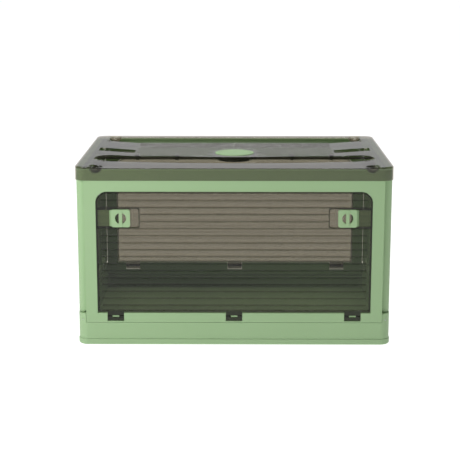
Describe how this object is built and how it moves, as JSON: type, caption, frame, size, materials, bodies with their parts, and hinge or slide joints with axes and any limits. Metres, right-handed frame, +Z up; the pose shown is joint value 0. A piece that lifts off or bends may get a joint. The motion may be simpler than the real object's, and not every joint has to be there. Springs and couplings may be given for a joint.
{
  "type": "collapsible storage crate",
  "caption": "Folding storage crate with opaque walls, smoky ribbed drop-down doors in both long sides, sliding latches and a recessed lift-off lid with a press button.",
  "frame": {"origin": "on the floor, under the middle of the closed crate's box", "axes": "+X to the crate's right along its long side, -Y out of the front door, +Z up"},
  "size_m": [0.506, 0.356, 0.292],
  "materials": {
    "green_plastic": "fine matt texture",
    "smoky_plastic": "clear smoky gloss",
    "dark_plastic": "satin",
    "steel": "drawn"
  },
  "bodies": {
    "base": {"base_tray": "green_plastic", "front_pivot_pins": "steel", "back_pivot_pins": "steel", "left_hinge_rod": "steel", "right_hinge_rod": "steel"},
    "front_panel": {"front_frame": "green_plastic", "front_door_hinge_pins": "green_plastic"},
    "front_door": {"front_door": "smoky_plastic"},
    "front_left_latch": {"front_left_latch": "green_plastic"},
    "front_right_latch": {"front_right_latch": "green_plastic"},
    "back_panel": {"back_frame": "green_plastic", "back_door_hinge_pins": "green_plastic"},
    "back_door": {"back_door": "smoky_plastic"},
    "back_left_latch": {"back_left_latch": "green_plastic"},
    "back_right_latch": {"back_right_latch": "green_plastic"},
    "left_wall": {"left_wall": "green_plastic"},
    "right_wall": {"right_wall": "green_plastic"},
    "lid": {"lid_cover": "smoky_plastic", "lid_ring": "green_plastic", "button_housing": "dark_plastic", "housing_screws": "steel", "button_spring": "steel", "lock_bar_guides": "dark_plastic"},
    "button": {"lid_button": "green_plastic"},
    "left_lock_bar": {"left_lock_bar": "dark_plastic"},
    "right_lock_bar": {"right_lock_bar": "dark_plastic"}
  },
  "joints": [
    {"name": "lid_lift", "type": "slide", "parent": "base", "child": "lid", "axis": [0, 0, 1], "range_m": [0, 0.3]},
    {"name": "button_press", "type": "slide", "parent": "lid", "child": "button", "axis": [0, 0, -1], "range_m": [0, 0.0025], "stiffness_N_per_m": 800, "springref_m": -0.002, "deforming": ["button_spring"]},
    {"name": "left_lock_slide", "type": "slide", "parent": "lid", "child": "left_lock_bar", "axis": [1, 0, 0], "range_m": [0, 0.0025]},
    {"name": "right_lock_slide", "type": "slide", "parent": "lid", "child": "right_lock_bar", "axis": [-1, 0, 0], "range_m": [0, 0.0025]},
    {"name": "front_panel_fold", "type": "hinge", "parent": "base", "child": "front_panel", "pos_m": [0, -0.171, 0.0414], "axis": [1, 0, 0], "range_deg": [-90, 0]},
    {"name": "back_panel_fold", "type": "hinge", "parent": "base", "child": "back_panel", "pos_m": [0, 0.171, 0.0329], "axis": [-1, 0, 0], "range_deg": [-90, 0]},
    {"name": "left_wall_fold", "type": "hinge", "parent": "base", "child": "left_wall", "pos_m": [-0.2454, 0, 0.05875], "axis": [0, -1, 0], "range_deg": [-90, 0]},
    {"name": "right_wall_fold", "type": "hinge", "parent": "base", "child": "right_wall", "pos_m": [0.2454, 0, 0.05875], "axis": [0, 1, 0], "range_deg": [-90, 0]},
    {"name": "front_door_hinge", "type": "hinge", "parent": "front_panel", "child": "front_door", "pos_m": [0, -0.171, 0.047], "axis": [1, 0, 0], "range_deg": [0, 100]},
    {"name": "back_door_hinge", "type": "hinge", "parent": "back_panel", "child": "back_door", "pos_m": [0, 0.171, 0.047], "axis": [-1, 0, 0], "range_deg": [0, 100]},
    {"name": "front_left_latch_slide", "type": "slide", "parent": "front_door", "child": "front_left_latch", "axis": [-1, 0, 0], "range_m": [-0.011, 0.0025]},
    {"name": "front_right_latch_slide", "type": "slide", "parent": "front_door", "child": "front_right_latch", "axis": [1, 0, 0], "range_m": [-0.011, 0.0025]},
    {"name": "back_left_latch_slide", "type": "slide", "parent": "back_door", "child": "back_left_latch", "axis": [-1, 0, 0], "range_m": [-0.011, 0.0025]},
    {"name": "back_right_latch_slide", "type": "slide", "parent": "back_door", "child": "back_right_latch", "axis": [1, 0, 0], "range_m": [-0.011, 0.0025]}
  ],
  "couplings": [
    {"joint": "left_lock_slide", "follows": "button_press", "ratio": 1},
    {"joint": "right_lock_slide", "follows": "button_press", "ratio": 1}
  ]
}
